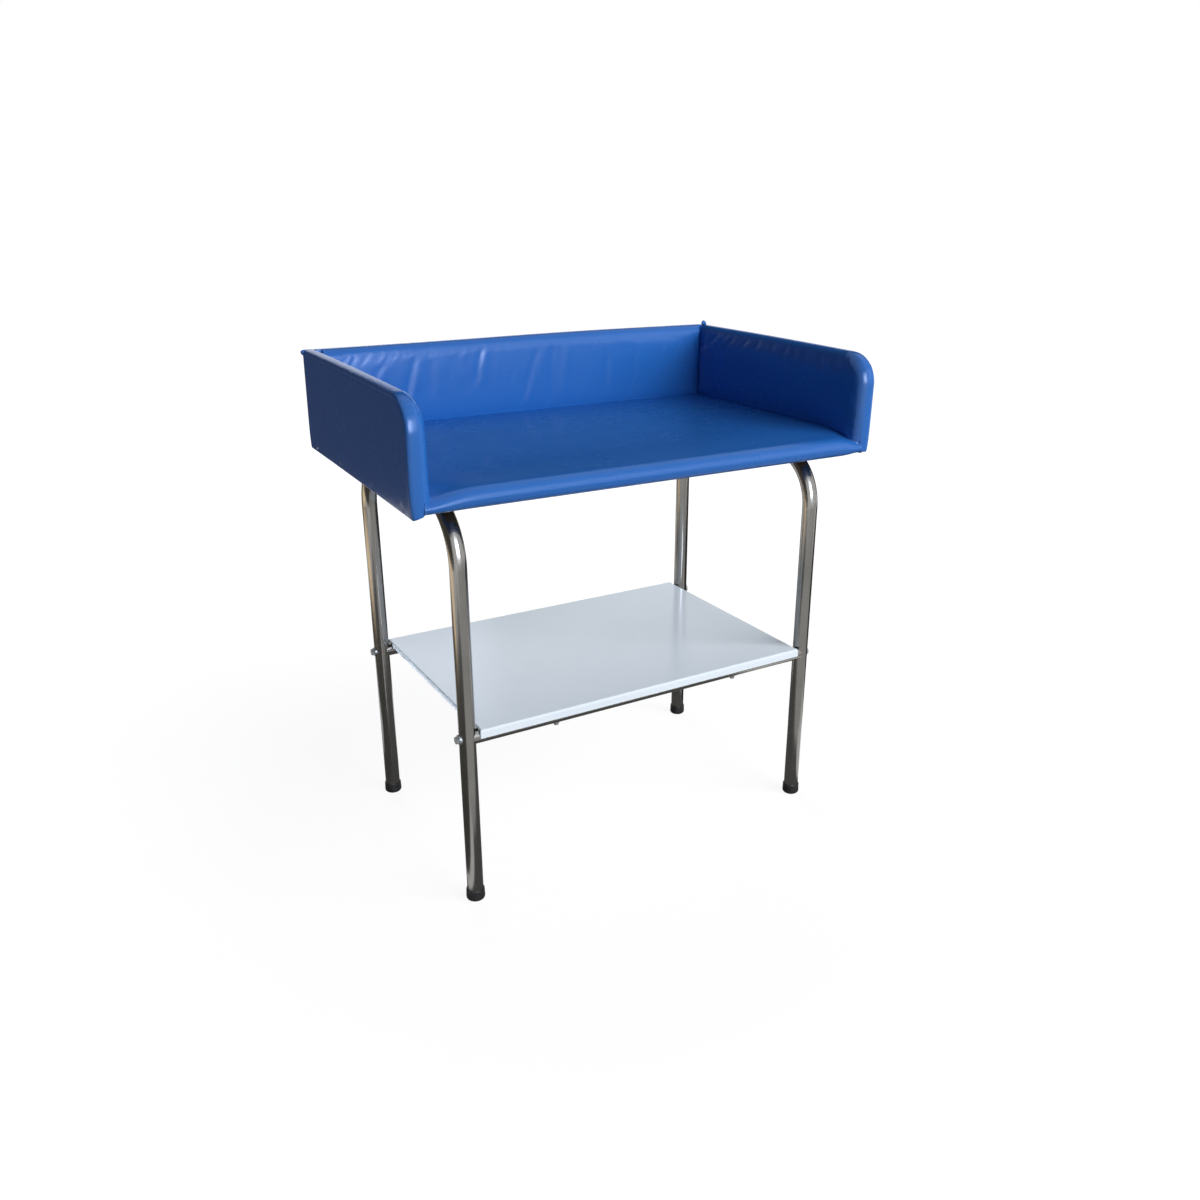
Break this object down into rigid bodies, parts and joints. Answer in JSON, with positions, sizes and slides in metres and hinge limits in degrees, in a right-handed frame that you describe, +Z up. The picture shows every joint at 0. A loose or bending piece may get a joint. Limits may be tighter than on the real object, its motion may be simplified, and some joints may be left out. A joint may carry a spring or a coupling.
{
  "type": "changing table",
  "caption": "Nursery changing table with an upholstered vinyl deck, padded back and sides, bent steel tube legs and a white sheet shelf below.",
  "frame": {"origin": "on the floor, under the centre of the table's width and depth", "axes": "+X to the right of a person at the open front, +Y from the open front towards the padded back, +Z up"},
  "size_m": [0.9256, 0.558, 0.947],
  "materials": {
    "vinyl": "semi-gloss coated vinyl upholstery",
    "foam": "open cell foam",
    "plywood": "sanded plywood",
    "steel": "polished stainless steel tube",
    "enamel": "glossy white powder coat",
    "zinc": "zinc plated steel",
    "rubber": "moulded black rubber"
  },
  "bodies": {
    "root": {"left_leg_frame": "steel", "right_leg_frame": "steel", "foot_front_left": "rubber", "foot_front_right": "rubber", "foot_back_left": "rubber", "foot_back_right": "rubber", "front_shelf_rail": "steel", "rear_shelf_rail": "steel", "rail_end_plugs": "zinc", "rail_bolts": "zinc", "rail_saddle_washers": "zinc", "shelf": "enamel", "shelf_studs": "zinc", "shelf_saddle_washers": "zinc", "shelf_nuts": "zinc", "deck_board": "plywood", "deck_foam": "foam", "deck_cover": "vinyl", "left_side_board": "plywood", "left_side_foam": "foam", "left_side_cover": "vinyl", "right_side_board": "plywood", "right_side_foam": "foam", "right_side_cover": "vinyl", "back_board": "plywood", "back_foam": "foam", "back_cover": "vinyl", "deck_bolts": "zinc", "deck_saddle_washers": "zinc", "deck_tee_nuts": "zinc", "left_side_screws": "zinc", "right_side_screws": "zinc", "back_screws": "zinc"}
  },
  "joints": []
}
